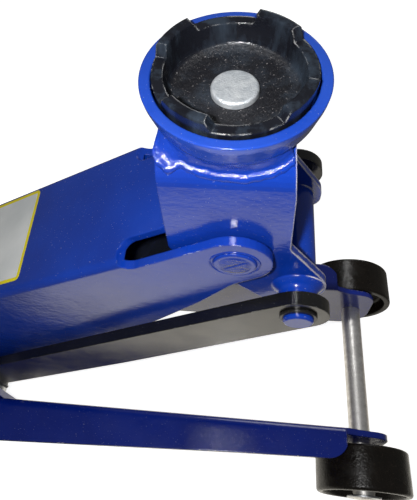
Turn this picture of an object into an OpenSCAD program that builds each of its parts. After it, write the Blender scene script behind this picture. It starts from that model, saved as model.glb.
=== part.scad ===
// Compact hydraulic trolley jack, 2 tonne class.
// Millimetres. The floor is z = 0, +X points to the front wheels and +Y to the left.
// The origin is on the floor, under the centre of the whole jack's box.

/* [Stance] */
// Angle of the lift arm above level, degrees
lift_angle = 37.8; // [-8:0.1:37.8]
// Angle of the pump handle above level, degrees
handle_angle = 25; // [25:1:75]

/* [Front wheels and axle] */
// Radius of a front wheel
wheel_r = 30; // [28:0.5:32]
// Width of a front wheel
wheel_w = 26; // [24:0.5:28]
// Radius of the front axle
axle_r = 6.9; // [6:0.1:8]

/* [Side frames] */
// Half the distance between the inner faces of the side frames
web_in = 45.5; // [45.5:0.5:48]
// Thickness of the side frame plate
web_t = 3.5; // [3:0.1:4]
// Height of the flange's top face above the floor
frame_top = 69.5; // [69:0.5:72]
// Gap between the side frames and the floor
frame_clear = 4; // [3:0.5:6]
// Length of the side frames behind the front axle
frame_len = 418; // [416:1:430]
// Half the width of the jack over its rear flanges
flange_half = 99; // [98:0.5:104]

/* [Linkage] */
// Distance from the arm's pivot to the saddle pin
arm_len = 240; // [236:0.5:244]
// Distance of the arm's pivot behind the front axle
pivot_back = 275.1; // [270:0.1:280]
// Height of the arm's pivot
pivot_z = 107.7; // [105:0.1:110]
// Distance of the link pin ahead of the saddle pin
link_fwd = 25.1; // [24:0.1:26]
// Distance of the link pin below the saddle pin
link_down = 27.4; // [26:0.1:29]

/* [Lift arm] */
// Half the width of the lift arm
arm_half = 29.4; // [29:0.1:29.6]
// Thickness of the arm's plate
arm_t = 3.6; // [3.2:0.1:4]
// Radius of the saddle pin
saddle_pin_r = 8.1; // [7:0.1:9]
// Distance from the arm's pivot to the crank pin
crank_len = 60; // [58:0.5:62]

/* [Link bars] */
// Distance from the middle of the jack to a link bar's inner face
link_in = 31.6; // [31.4:0.1:33]
// Thickness of a link bar
link_t = 5.4; // [5:0.1:6]
// Width of a link bar at its front end
link_w = 23.8; // [23:0.1:25]

/* [Saddle] */
// Half the width of the saddle bracket
bracket_half = 24.2; // [24:0.1:24.2]
// Thickness of the bracket's plate
bracket_t = 3.5; // [3:0.1:4.5]
// Radius of the dish at its rim
dish_r = 28.5; // [28:0.1:30]
// Radius of the cup at its rim
cup_r = 24.7; // [23:0.1:24.7]
// Number of raised tabs on the cup's rim
tab_count = 4; // [3:1:6]
// Height of a tab above the rim
tab_h = 3.7; // [3:0.1:6]

/* [Handle] */
// Length of handle from the socket's pivot to the grip's end
handle_reach = 392; // [380:1:460]
// Radius of the handle's tube
handle_r = 12.5; // [11:0.1:12.5]

/* [Rear casters] */
// Radius of a caster wheel
caster_r = 19; // [17:0.5:19]
// Distance of a caster's swivel from the middle of the jack
caster_y = 83; // [83:0.5:86]
// Distance from the swivel axis to the wheel's axle
caster_trail = 12; // [10:0.5:12]

/* [Hidden] */

$fn = 72;
fit = 0.06;           // radial clearance of a running fit
gap = 0.3;            // clearance between parts that move past each other
far = 400;            // longer than anything that is cut
blue = "#2346b8";
black = "#17181a";
zinc = "#b9bdc1";
steel = "#8d9196";
rubber = "#242426";

// Handle socket, ram and pump, measured behind the front axle and above the floor
socket_back = 388;
socket_z = 92;
ram_z = 50;
ram_r = 12;
cylinder_bore = 17;
cap_back = 318;
block_back = 382;
block_half = 30;
crank_angle = -104.9; // of the crank pin, from the arm's centreline
crank_pin_r = 7;
yoke_slack = 0.4;
spring_y = 35;
post_back = 368;

// Pump roller in the socket's own frame
roller_u = 11.6;
roller_w = -15.3;
roller_r = 6;
roller_pin_r = 2.5;

grip_r = 15.5;
grip_round = 4;
caster_back = 355;
fork_half = 13;

// Distance of the grip's furthest point behind the front axle
handle_back = socket_back + (handle_reach - grip_round) * cos(handle_angle)
  + (grip_r - grip_round) * sin(handle_angle) + grip_round;
// The origin is half way between the grip and the front of the wheels
axle_x = (handle_back - wheel_r) / 2;

arm_shaft_r = 9;
link_pin_r = 6;
wall_in = arm_half - arm_t;
saddle_x = arm_len * cos(lift_angle) - pivot_back;
saddle_z = arm_len * sin(lift_angle) + pivot_z;
crank_x = crank_len * cos(lift_angle + crank_angle) - pivot_back;
crank_z = crank_len * sin(lift_angle + crank_angle) + pivot_z;

// Unit vector along v
function unit(v) = v / norm(v);

// Points of an arc about c from angle a0 through turn degrees
function arc(c, r, a0, turn) =
  let (n = max(2, ceil(abs(turn) / 10)))
  [for (i = [0:n]) c + r * [cos(a0 + turn * i / n), sin(a0 + turn * i / n)]];

// Points of corner b between a and c, rounded to radius r
function corner(a, b, c, r) =
  let (
    u = unit(a - b),
    w = unit(c - b),
    half = acos(u * w) / 2,
    centre = b + unit(u + w) * r / sin(half),
    s = b + u * r / tan(half) - centre,
    e = b + w * r / tan(half) - centre
  )
  r == 0 || abs(cross(u, w)) < 0.001 ? [b] : arc(centre, r, atan2(s.y, s.x), atan2(cross(s, e), s * e));

// Closed outline from [x, y, corner radius] rows
function rounded(p) = [
  for (i = [0:len(p) - 1])
    let (a = p[(i + len(p) - 1) % len(p)], b = p[i], c = p[(i + 1) % len(p)])
    each corner([a.x, a.y], [b.x, b.y], [c.x, c.y], b[2])
];

// Everything is placed from the front axle
module at_axle() {
  translate([axle_x, 0, 0]) children();
}

// A piece drawn for the left side, put on the left (1) or the right (-1)
module on_side(side) {
  if (side > 0) children();
  else mirror([0, 1, 0]) children();
}

module both_sides() {
  children();
  mirror([0, 1, 0]) children();
}

// Outline in the XZ plane made into a plate from y0 to y1
module plate(outline, y0, y1) {
  translate([0, y1, 0]) rotate([90, 0, 0]) linear_extrude(y1 - y0) polygon(outline);
}

// Section in the YZ plane drawn out along X from x0 to x1
module drawn(section, x0, x1) {
  translate([x0, 0, 0]) rotate([90, 0, 90]) linear_extrude(x1 - x0) polygon(section);
}

// Round bar across the jack from y0 to y1
module bar(r, y0, y1) {
  translate([0, y1, 0]) rotate([90, 0, 0]) cylinder(r = r, h = y1 - y0);
}

// Round bar along X from x0 to x1
module rod(r, x0, x1) {
  translate([x0, 0, 0]) rotate([0, 90, 0]) cylinder(r = r, h = x1 - x0);
}

// Pin across the jack with chamfered ends
module pin(r, half, chamfer = 0.8) {
  rotate([90, 0, 0])
    rotate_extrude()
      polygon([[0, -half], [r - chamfer, -half], [r, chamfer - half], [r, half - chamfer],
        [r - chamfer, half], [0, half]]);
}

// Turned shape: rows of [radius, distance along +Y, corner radius]
module turned(profile, y0) {
  translate([0, y0, 0]) rotate([-90, 0, 0]) rotate_extrude() polygon(rounded(profile));
}

// Inverted U channel section: half width, plate thickness and outer bend radius
function channel(half, t, bend, depth) = rounded([
  [-half, -depth, 0], [-half, 0, bend], [half, 0, bend], [half, -depth, 0],
  [half - t, -depth, 0], [half - t, -t, bend - t], [t - half, -t, bend - t], [t - half, -depth, 0]
]);

module at_pivot() {
  at_axle() translate([-pivot_back, 0, pivot_z]) children();
}

// Arm's own frame: the pivot at the origin, the saddle pin ahead on +X
module arm_frame() {
  at_pivot() rotate([0, -lift_angle, 0]) children();
}

// Bracket's frame: the saddle pin at the origin, always upright
module saddle_frame() {
  at_axle() translate([saddle_x, 0, saddle_z]) children();
}

// ---------------------------------------------------------------- side frames

web_bend = 5;
flange_front = 14;    // the flange starts this far behind the front axle
shaft_hole = [-pivot_back, pivot_z];

// Web and flange seen from the end
function frame_section() = rounded([
  [web_in, 0, 0], [web_in, frame_top, web_bend], [flange_half + 9, frame_top, 0],
  [flange_half + 9, frame_top - web_t, 0], [web_in + web_t, frame_top - web_t, web_bend - web_t],
  [web_in + web_t, 0, 0]
]);

// Web seen from the side: rounded nose over the axle, flange line behind it
function frame_side() = rounded([
  [-16, frame_top + 5, 0], [-15.5, 66, 4], [-7, 61.5, 6], [13.8, 57, 13], [14.2, frame_clear, 22],
  [-frame_len, frame_clear, 9], [-frame_len, frame_top + 5, 0]
]);

// Flange seen from above: narrow beside the arm, wide over the casters
function frame_plan() = rounded([
  [30, web_in - 1, 0], [30, web_in + web_t, 0], [-flange_front, web_in + web_t, 0],
  [-flange_front - 2, 63.7, 13], [-80, 65.4, 0], [-155, 68.1, 0], [-245, 71.4, 60],
  [-312, flange_half, 40], [-398, flange_half, 18], [-frame_len + 6, 70, 14],
  [-frame_len, web_in - 1, 0]
]);

module side_frame(side) {
  color(blue) at_axle() on_side(side)
    difference() {
      intersection() {
        drawn(frame_section(), -frame_len, 20);
        plate(frame_side(), 40, 120);
        linear_extrude(90) polygon(frame_plan());
      }
      translate([0, 0, wheel_r]) bar(axle_r, 40, 60);
      translate([-caster_back, caster_y, 0]) cylinder(r = 5, h = 100);
    }
}

// Inner cheek that carries the arm shaft and the link stud above the flange
cheek_t = 4;

function cheek_outline() = rounded([
  [-239, 12, 8], [-239, 96, 12], [-256, pivot_z + 23, 20], [-295, pivot_z + 23, 20],
  [-328, 96, 16], [-328, 12, 8]
]);

module pivot_cheek(side) {
  color(blue) at_axle() on_side(side)
    difference() {
      plate(cheek_outline(), web_in - cheek_t, web_in);
      translate([-pivot_back, 0, pivot_z]) bar(arm_shaft_r, 30, 60);
      translate([link_fwd - pivot_back, 0, pivot_z - link_down]) bar(link_pin_r, 30, 60);
    }
}

module base_plate() {
  color(blue) at_axle() translate([0, 0, frame_clear])
    linear_extrude(web_t)
      polygon(rounded([
        [-300, -web_in, 0], [-300, web_in, 0], [-frame_len + 3, web_in, 10],
        [-frame_len + 3, -web_in, 10]
      ]));
}

// ---------------------------------------------------------------- front wheels

wheel_y = web_in + web_t + gap;
wheel_slide = 3;      // end play; the right wheel has slid out, the left one in
washer_y = wheel_y + wheel_w + wheel_slide + 2 * gap;
washer_t = 1.3;

module front_axle() {
  color(zinc) at_axle() translate([0, 0, wheel_r]) pin(axle_r, washer_y + washer_t + 0.4, 0.6);
}

// Flat washers that the axle's ends are peened over to keep the wheels on
module axle_washers() {
  color(zinc) at_axle() translate([0, 0, wheel_r]) both_sides()
    turned([[axle_r, 0, 0], [10.9, 0, 0.3], [10.9, washer_t, 0.3], [axle_r, washer_t, 0]],
      washer_y);
}

// Hub, web and rim in one moulding, hollow on both faces
module front_wheel(side) {
  rim = 5.2;
  hub = 13;
  color(black) at_axle() on_side(side) translate([0, 0, wheel_r])
    turned([
      [axle_r + fit, 0, 0], [hub, 0, 1], [hub, 9, 2.5], [wheel_r - rim, 9, 2.5],
      [wheel_r - rim + 0.8, 0.4, 1], [wheel_r, 0.4, 1.6], [wheel_r, wheel_w, 2],
      [wheel_r - rim + 1.4, wheel_w, 1.2], [wheel_r - rim, wheel_w - 9, 3],
      [hub - 1, wheel_w - 9, 2.5], [hub - 1, wheel_w - 3, 1], [axle_r + fit, wheel_w - 3, 0]
    ], wheel_y + (side > 0 ? 0 : wheel_slide));
}

// ---------------------------------------------------------------- lift arm

arm_top = 40;         // height of the top plate over the pivot
arm_slope = 5;        // the top plate falls towards the saddle by this angle
ear_r = 13.7;
slot_end = 199.4;     // rear end of the slots that the bracket swings into
slot_in = 18.9;       // distance of a slot's inner edge from the middle
slot_round = 5.6;
tongue_end = 226;
crank_end_r = 13;

function crank_pos() = crank_len * [cos(crank_angle), sin(crank_angle)];

// Arm's wall seen from the side: crank lug below the pivot, ear at the front
function arm_side() = rounded([
  [arm_len + ear_r, -ear_r, ear_r], [arm_len + ear_r, ear_r, ear_r], [tongue_end + 2, 14.7, 4],
  [tongue_end, 60, 0], [-30, 60, 0], [-34, 20, 30],
  [crank_pos().x - crank_end_r - 2, crank_pos().y - crank_end_r, crank_end_r],
  [crank_pos().x + crank_end_r + 1, crank_pos().y - crank_end_r, crank_end_r],
  [16, -50, 14], [70, -44, 60], [170, -29.2, 100], [205, -21.3, 60], [228, -13.9, 20]
]);

// Side view of what the slots take away above the ears
function slot_side() = rounded([
  [slot_end, 16.6, slot_round], [tongue_end + 12, 14.4, 0], [arm_len + 20, 14.4, 0], [arm_len + 20, 70, 0],
  [slot_end, 70, 0]
]);

// Slots seen from above, open at the front
function slot_plan() = rounded([
  [slot_end, slot_in, slot_round], [arm_len + 30, slot_in, 0], [arm_len + 30, 60, 0], [slot_end, 60, 0]
]);

// Cross plate welded in between the walls, behind the bracket
brace_side = [[132, -17], [198, -14.5], [198, -11.5], [132, -14]];

module lift_arm() {
  color(blue) arm_frame()
    difference() {
      union() {
        intersection() {
          translate([0, 0, arm_top]) rotate([0, arm_slope, 0])
            drawn(channel(arm_half, arm_t, arm_t, 130), -60, 320);
          plate(arm_side(), -60, 60);
        }
        plate(brace_side, -wall_in - 0.5, wall_in + 0.5);
      }
      both_sides()
        intersection() {
          plate(slot_side(), 0, 60);
          linear_extrude(90) polygon(slot_plan());
        }
      // rounded front edge of the tongue between the slots
      translate([0, 0, -5])
        linear_extrude(80)
          difference() {
            translate([slot_end + 9, -slot_in - 1]) square([90, 2 * slot_in + 2]);
            polygon(rounded([
              [slot_end, -slot_in, 0], [tongue_end, -slot_in, 7], [tongue_end, slot_in, 7],
              [slot_end, slot_in, 0]
            ]));
          }
      bar(13, -60, 60);
      translate([arm_len, 0, 0]) bar(saddle_pin_r, -60, 60);
      translate([crank_pos().x, 0, crank_pos().y]) bar(crank_pin_r, -60, 60);
    }
}

module arm_pivot_tube() {
  half = web_in - cheek_t - gap;
  color(steel) arm_frame()
    difference() {
      bar(13, -half, half);
      bar(arm_shaft_r + fit, -far, far);
    }
}

module arm_shaft() {
  color(zinc) at_pivot() pin(arm_shaft_r, 51, 1);
}

// Retaining rings on the shaft's ends
module arm_shaft_rings() {
  color(steel) at_pivot() both_sides()
    turned([[arm_shaft_r, 0, 0], [14, 0, 0], [14, 1.6, 0.4], [arm_shaft_r, 1.6, 0]], web_in);
}

module saddle_pin() {
  color(blue) arm_frame() translate([arm_len, 0, 0])
    difference() {
      pin(saddle_pin_r, arm_half + 0.8, 0.6);
      // shear mark across each end
      both_sides() translate([-5, arm_half + 0.45, -0.4]) cube([10, 2, 0.8]);
    }
}

module crank_pin() {
  groove = 1.2;
  color(zinc) arm_frame() translate([crank_pos().x, 0, crank_pos().y])
    difference() {
      pin(crank_pin_r, spring_y + 5);
      // grooves for the return springs' hooks
      both_sides()
        difference() {
          bar(crank_pin_r + 2, spring_y - 1.6, spring_y + 1.6);
          bar(crank_pin_r - groove, 0, far);
        }
    }
}

// ---------------------------------------------------------------- saddle bracket

bracket_top = 52.2;   // top face above the saddle pin
boss_r = 7.6;
dish_x = -1.5;        // the saddle's axis from the saddle pin

// Bracket's plate seen from the side, about the saddle pin
function bracket_side() = rounded([
  [-24.2, bracket_top + 9, 0], [-24.8, 22, 60], [-24.8, -0.5, 5], [13, -43.6, 6],
  [28, -41, 9], [36.4, -34.5, 8], [36.4, -24.2, 11.7], [19.8, 2.6, 5], [18.8, 36, 60],
  [16.6, bracket_top + 9, 0]
]);

module saddle_bracket() {
  boss_foot = bracket_half - 1;
  color(blue) saddle_frame()
    difference() {
      union() {
        intersection() {
          translate([0, 0, bracket_top]) drawn(channel(bracket_half, bracket_t, 12, 110), -60, 60);
          plate(bracket_side(), -60, 60);
        }
        // tube through both plates, welded to them, that stands the links off
        translate([link_fwd, 0, -link_down]) both_sides()
          turned([[0, 0, 0], [boss_r, 0, 0], [boss_r, boss_foot, 0], [boss_r + 3, boss_foot, 0],
            [boss_r + 3, bracket_half + 0.4, 0.6], [boss_r, bracket_half + 3.2, 3],
            [boss_r, link_in - gap, 0.3], [0, link_in - gap, 0]], 0);
      }
      bar(saddle_pin_r + fit, -far, far);
      translate([link_fwd, 0, -link_down]) bar(link_pin_r, -far, far);
      translate([dish_x, 0, 0]) cylinder(r = 5, h = 90);
    }
}

// Dish welded to the bracket that the cup turns in
module saddle_dish() {
  dish_floor = 2.4;
  color(blue) saddle_frame() translate([dish_x, 0, bracket_top])
    rotate_extrude()
      polygon(rounded([
        [5, 0, 0], [24.3, 0, 1], [dish_r - 2.3, 4, 8], [dish_r - 0.4, 10.5, 10], [dish_r, 13.1, 0.4],
        [dish_r - 3.5, 13.1, 0.6], [dish_r - 3.5, 9.4, 4], [21.4, dish_floor, 1.5],
        [5, dish_floor, 0]
      ]));
}

module link_pin() {
  color(blue) saddle_frame() translate([link_fwd, 0, -link_down])
    pin(link_pin_r, link_in + link_t + 2.9, 0.7);
}

cup_floor = 5.3;      // top of the cup's floor above the bracket
cup_rim = 14.3;

// Round head seen in the cup, shank through the dish and a peened tail
module saddle_rivet() {
  color(zinc) saddle_frame() translate([dish_x, 0, bracket_top])
    rotate_extrude()
      polygon(rounded([
        [0, -bracket_t - 2.6, 0], [5.5, -bracket_t - 2.6, 1.6], [8, -bracket_t, 0], [5, -bracket_t, 0],
        [5, cup_floor + 0.1, 0], [7.4, cup_floor + 0.1, 0], [7.4, cup_floor + 2.5, 0.9],
        [0, cup_floor + 2.5, 0]
      ]));
}

// Cup with raised tabs round its rim, free to turn about the rivet
module saddle_cup() {
  tab_turn = 43;
  tab_start = 35.5;
  end_slope = 28;
  wall = 3.4;
  color(black) saddle_frame() translate([dish_x, 0, bracket_top])
    difference() {
      rotate_extrude()
        polygon(rounded([
          [5 + fit, 2.8, 0], [20.4, 2.8, 2], [cup_r - 0.4, 9, 6], [cup_r, cup_rim + tab_h, 0.8],
          [cup_r - wall, cup_rim + tab_h, 0.8], [cup_r - wall - 0.7, cup_floor, 4],
          [5 + fit, cup_floor, 0]
        ]));
      // rim cut down between the tabs, whose ends slope back
      for (i = [0:tab_count - 1])
        rotate([0, 0, tab_start + i * 360 / tab_count])
          intersection() {
            translate([-50, -50, cup_rim]) cube([100, 100, 30]);
            translate([0, 0, cup_rim]) rotate([0, 0, tab_turn]) rotate([end_slope, 0, 0])
              translate([0, 0, -50]) cube([60, 60, 100]);
            translate([0, 0, cup_rim]) rotate([0, 0, 360 / tab_count]) rotate([-end_slope, 0, 0])
              translate([0, -60, -50]) cube([60, 60, 100]);
          }
    }
}

// ---------------------------------------------------------------- link bars

// Bar seen from the side: its lower edge swells out behind the link pin
function link_outline() =
  let (half = link_w / 2)
  rounded([
    [-14, -15.9, 13], [arm_len - 120, -15.9, 300], [arm_len + half, -half, half / 1.02],
    [arm_len + half, half, half / 1.02], [-14, 12.8, 13]
  ]);

module link_frame() {
  at_pivot() translate([link_fwd, 0, -link_down]) rotate([0, -lift_angle, 0]) children();
}

module link_bar(side) {
  color(black) link_frame() on_side(side)
    difference() {
      plate(link_outline(), link_in, link_in + link_t);
      bar(link_pin_r + fit, 0, far);
      translate([arm_len, 0, 0]) bar(link_pin_r + fit, 0, far);
    }
}

stud_end = link_in - 1.7;

// Studs on the cheeks that the link bars turn on
module link_studs() {
  color(zinc) at_pivot() translate([link_fwd, 0, -link_down]) both_sides()
    turned([[0, 0, 0], [link_pin_r - 0.6, 0, 0], [link_pin_r, 0.6, 0],
      [link_pin_r, web_in - stud_end, 0], [0, web_in - stud_end, 0]], stud_end);
}

module link_rings() {
  color(steel) at_pivot() translate([link_fwd, 0, -link_down]) both_sides()
    turned([[link_pin_r, 0, 0], [10, 0, 0.3], [10, 1, 0.3], [link_pin_r, 1, 0]], stud_end + 0.2);
}

// ---------------------------------------------------------------- hydraulic unit

foot_t = 9;
foot_half = 42;
foot_back = 414;
ear_in = 15.5;
ear_out = 24;
reservoir_r = 29;
barrel_back = 407;
barrel_r = 7;
barrel_top = 68;

bolt_r = 2.5;

// Each of the four bolts through the block's foot
module at_bolts() {
  both_sides()
    for (x = [-block_back - 3, -foot_back + 7])
      translate([x, foot_half - 6, frame_clear + web_t + foot_t]) children();
}

module at_ram() {
  at_axle() translate([0, 0, ram_z]) children();
}

// Cast block: pump body, cylinder seat, bolted foot and the socket's ears
module base_block() {
  foot_z = frame_clear + web_t;
  color(blue) at_axle()
    difference() {
      union() {
        translate([0, 0, foot_z])
          linear_extrude(foot_t)
            polygon(rounded([
              [-block_back + 4, -foot_half, 6], [-block_back + 4, foot_half, 6],
              [-foot_back, foot_half, 6], [-foot_back, -foot_half, 6]
            ]));
        plate(rounded([
          [-block_back, foot_z, 0], [-block_back, 80, 10], [-395, 80, 0], [-395, 62, 4],
          [-foot_back - 3, 62, 8], [-foot_back - 3, foot_z, 0]
        ]), -block_half, block_half);
        both_sides()
          plate(rounded([
            [-372, 60, 0], [-socket_back + 15, socket_z + 14.5, 14], [-socket_back - 15, socket_z + 14.5, 14],
            [-foot_back, 60, 8], [-foot_back, 40, 0], [-372, 40, 0]
          ]), ear_in, ear_out);
      }
      // well between the ears for the socket's nose
      translate([-socket_back - 30, -ear_in, 62]) cube([60, 2 * ear_in, 60]);
      // seats of the cylinder and the reservoir
      translate([0, 0, ram_z]) {
        rod(21, -block_back - 8, -block_back + 20);
        rod(reservoir_r, -block_back + 0.5, -block_back + 30);
      }
      translate([-socket_back, 0, socket_z]) bar(6, -60, 60);
      translate([-barrel_back, 0, 40]) cylinder(r = barrel_r, h = 60);
      translate([-foot_back - 10, 0, 34]) rod(5, 0, 16);
      translate([-block_back - 7, 0, 50]) cylinder(r = 5, h = 40);
      at_bolts() translate([0, 0, -foot_t]) cylinder(r = bolt_r, h = foot_t);
    }
}

module cylinder_tube() {
  color(steel) at_ram()
    difference() {
      rod(21, -block_back - 8, -cap_back - 8);
      rod(cylinder_bore + fit, -block_back - 7, 0);
    }
}

filler_x = -345;
filler_r = 4;

module reservoir_tube() {
  color(blue) at_ram()
    difference() {
      rod(reservoir_r, -block_back + 0.5, -cap_back - 4);
      rod(reservoir_r - 2, -far * 2, 0);
      translate([filler_x, 0, 0]) cylinder(r = filler_r, h = 60);
    }
}

// Cap that closes both tubes and guides the ram
module end_cap() {
  color(blue) at_ram()
    difference() {
      union() {
        rod(reservoir_r, -cap_back - 4, -cap_back);
        rod(reservoir_r - 2, -cap_back - 8, -cap_back - 4);
        rod(17, -cap_back, -cap_back + 2);
      }
      rod(ram_r + fit, -far * 2, 0);
    }
}

// Four hexagon bolts through the block's foot
module unit_bolts() {
  color(zinc) at_axle() at_bolts() {
    cylinder(r = 5.4, h = 4.4, $fn = 6);
    translate([0, 0, -foot_t]) cylinder(r = bolt_r, h = foot_t);
  }
}

module filler_plug() {
  color(zinc) at_axle() translate([filler_x, 0, ram_z + reservoir_r - 2]) {
    cylinder(r = filler_r, h = 3);
    translate([0, 0, 2]) cylinder(r = 6.5, h = 5, $fn = 6);
  }
}

// ------------------------------------------------------------------ pump

// Height of the roller's centre at this handle angle
function roller_z() = socket_z + roller_u * sin(handle_angle) + roller_w * cos(handle_angle);

module pump_barrel() {
  color(steel) at_axle() translate([-barrel_back, 0, 40])
    rotate_extrude()
      polygon([[5 + fit, 0], [barrel_r, 0], [barrel_r, barrel_top - 42], [barrel_r - 1, barrel_top - 40],
        [5 + fit, barrel_top - 40]]);
}

module pump_plunger() {
  plunger_len = 32;
  color(zinc) at_axle() translate([-barrel_back, 0, roller_z() - roller_r - 0.5 - plunger_len])
    cylinder(r = 5, h = plunger_len);
}

// Release valve's stem with a slotted knob, turned by the handle's notched end
module release_valve() {
  color(zinc) at_axle() translate([-foot_back - 3, 0, 34])
    difference() {
      union() {
        rod(4.9, -2, 8);
        rod(8, -11, -1);
      }
      translate([-14, -12, -1.6]) cube([8, 24, 3.2]);
    }
}

// ------------------------------------------------------------------ ram

// Ram with its piston; it slides by the crank pin's travel along X
module ram_rod() {
  color(zinc) at_ram() {
    rod(ram_r, crank_x - 84, crank_x - 9);
    rod(cylinder_bore, crank_x - 86, crank_x - 76);
  }
}

// Fork head on the ram; its tall slot lets the crank pin rise and fall
module ram_yoke() {
  rise = 2.6;
  slot_r = crank_pin_r + yoke_slack;
  color(steel) at_ram() translate([crank_x, 0, 0])
    difference() {
      plate(rounded([[-16, -15, 6], [13, -17, 11], [13, 17, 11], [-16, 15, 6]]), -20, 20);
      for (z = [-rise, rise]) translate([0, 0, z]) bar(slot_r, -30, 30);
      translate([-slot_r, -30, -rise]) cube([2 * slot_r, 60, 2 * rise]);
      rod(ram_r, -60, -9);
    }
}

// ------------------------------------------------------------------ return springs

coil_r = 4;
wire_r = 0.9;

module spring_posts() {
  color(zinc) at_axle() translate([-post_back, 0, ram_z]) both_sides()
    turned([[0, 0, 0], [4, 0, 0], [4, 2, 0], [2.9, 2.8, 0], [2.9, 5, 0], [4, 5.8, 0],
      [4, web_in - 31, 0], [0, web_in - 31, 0]], 31);
}

// Point of the coil at turn t; the coil runs from the post to the crank pin
function coil_point(t, turns, x0, x1, z0, z1) =
  let (s = t / turns)
  [x0 + (x1 - x0) * s, coil_r * cos(360 * t), z0 + (z1 - z0) * s + coil_r * sin(360 * t)];

// Sweep of a round wire along a row of points
module wire(path, r, sides) {
  n = len(path);
  ring = [for (i = [0:n - 1])
    let (
      d = unit(path[min(i + 1, n - 1)] - path[max(i - 1, 0)]),
      a = unit(cross(d, [1, 0, 0.001])),
      b = cross(d, a)
    )
    [for (k = [0:sides - 1]) path[i] + r * (a * cos(360 * k / sides) + b * sin(360 * k / sides))]];
  polyhedron(
    points = [for (row = ring) each row],
    faces = concat(
      [[for (k = [0:sides - 1]) k]],
      [for (i = [0:n - 2]) for (k = [0:sides - 1])
        let (m = (k + 1) % sides, a = i * sides, b = a + sides)
        each [[b + k, b + m, a + m], [b + k, a + m, a + k]]],
      [[for (k = [sides - 1:-1:0]) (n - 1) * sides + k]]
    )
  );
}

module return_spring(side) {
  turns = 14;
  steps = 10;
  x0 = -post_back + 9;
  x1 = crank_x - 12;
  z1 = crank_z - ram_z;
  color(steel) at_ram() on_side(side) translate([0, spring_y, 0])
    wire([for (i = [0:turns * steps]) coil_point(i / steps, turns, x0, x1, 0, z1)], wire_r, 6);
}

// ------------------------------------------------------------------ handle

// Handle's own frame: the socket's pivot at the origin, +X up along the handle
module handle_frame() {
  at_axle() translate([-socket_back, 0, socket_z])
    rotate([0, handle_angle, 0]) mirror([1, 0, 0]) children();
}

socket_stop = 30;
socket_len = 96;
lug_half = ear_in - gap;

module handle_socket() {
  color(blue) handle_frame()
    difference() {
      union() {
        plate(rounded([[-12.8, -12.8, 12.6], [3, -13, 3], [4, -20, 4], [20, -20, 6], [34, -12, 10],
          [34, 14, 4], [-12.8, 12.8, 12.6]]), -lug_half, lug_half);
        rod(16.5, 22, socket_len);
        rod(18.5, socket_len - 8, socket_len);
        translate([socket_len - 28, 0, 12]) cylinder(r = 8, h = 9);
      }
      rod(handle_r + fit, socket_stop, far);
      bar(6 + fit, -60, 60);
      translate([roller_u, 0, roller_w]) bar(roller_r + 0.8, -5.4, 5.4);
      // room for the plunger's head while the socket swings
      translate([-6, -5.4, -40]) cube([roller_u + 14, 10.8, 27.1]);
      translate([roller_u, 0, roller_w]) bar(roller_pin_r, -60, 60);
      translate([socket_len - 28, 0, 0]) cylinder(r = 4, h = 40);
    }
}

module socket_pin() {
  color(zinc) at_axle() translate([-socket_back, 0, socket_z]) {
    bar(6, -ear_out - 3, ear_out + 3);
    both_sides() turned([[0, 0, 0], [10, 0, 0], [10, 3, 1], [0, 3, 0]], ear_out + 0);
  }
}

module pump_roller() {
  color(steel) handle_frame() translate([roller_u, 0, roller_w])
    difference() {
      bar(roller_r, -5, 5);
      bar(roller_pin_r + fit, -9, 9);
    }
}

module roller_pin() {
  color(zinc) handle_frame() translate([roller_u, 0, roller_w]) pin(roller_pin_r, lug_half - 0.2, 0.3);
}

// Wing screw that clamps the handle in the socket
module clamp_screw() {
  color(zinc) handle_frame() translate([socket_len - 28, 0, 0]) {
    rotate_extrude()
      polygon(rounded([[0, handle_r + 0.4, 0], [4, handle_r + 0.4, 0.6], [4, 23, 0], [5.5, 23, 0.5],
        [5.5, 29, 1.5], [0, 29, 0]]));
    plate(rounded([[0, 24, 0], [4, 24, 0], [14, 34, 3], [12, 39, 1.4], [5, 31, 3], [0, 28, 0],
      [-5, 31, 3], [-12, 39, 1.4], [-14, 34, 3], [-4, 24, 0]]), -1.5, 1.5);
  }
}

joint_u = 205;        // where the upper half slips over the lower half
tube_t = 2;
button_r = 3.4;

module at_button() {
  translate([joint_u + 18, 0, 0]) rotate([90, 0, 0]) children();
}

module handle_lower() {
  neck_r = handle_r - tube_t;
  color(black) handle_frame()
    difference() {
      rotate([0, 90, 0])
        rotate_extrude()
          polygon(rounded([
            [handle_r - tube_t, socket_stop + gap, 0], [handle_r, socket_stop + gap, 0.5],
            [handle_r, joint_u - 3, 1], [neck_r, joint_u, 1], [neck_r, joint_u + 35, 1],
            [neck_r - tube_t, joint_u + 35, 0], [neck_r - tube_t, joint_u - 1, 1],
            [handle_r - tube_t, joint_u - 5, 1]
          ]));
      // notch that fits the release valve's knob
      translate([0, -2, -20]) cube([socket_stop + 9, 4, 40]);
      at_button() cylinder(r = button_r, h = 20);
    }
}

module handle_upper() {
  color(black) handle_frame()
    difference() {
      rotate([0, 90, 0])
        rotate_extrude()
          polygon(rounded([
            [handle_r - tube_t, joint_u + 0.6, 0], [handle_r, joint_u + 0.6, 0.5],
            [handle_r, handle_reach - 3, 0.5], [handle_r - tube_t, handle_reach - 3, 0]
          ]));
      at_button() cylinder(r = button_r, h = 20);
    }
}

// Sprung button that locks the two halves together
module snap_button() {
  color(zinc) handle_frame() at_button()
    rotate_extrude()
      polygon(rounded([[0, 6.3, 0], [button_r + 0.4, 6.3, 0], [button_r + 0.4, 7.3, 0], [button_r, 7.3, 0],
        [button_r, handle_r + 1.8, 1.6], [0, handle_r + 1.8, 0]]));
}

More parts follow.
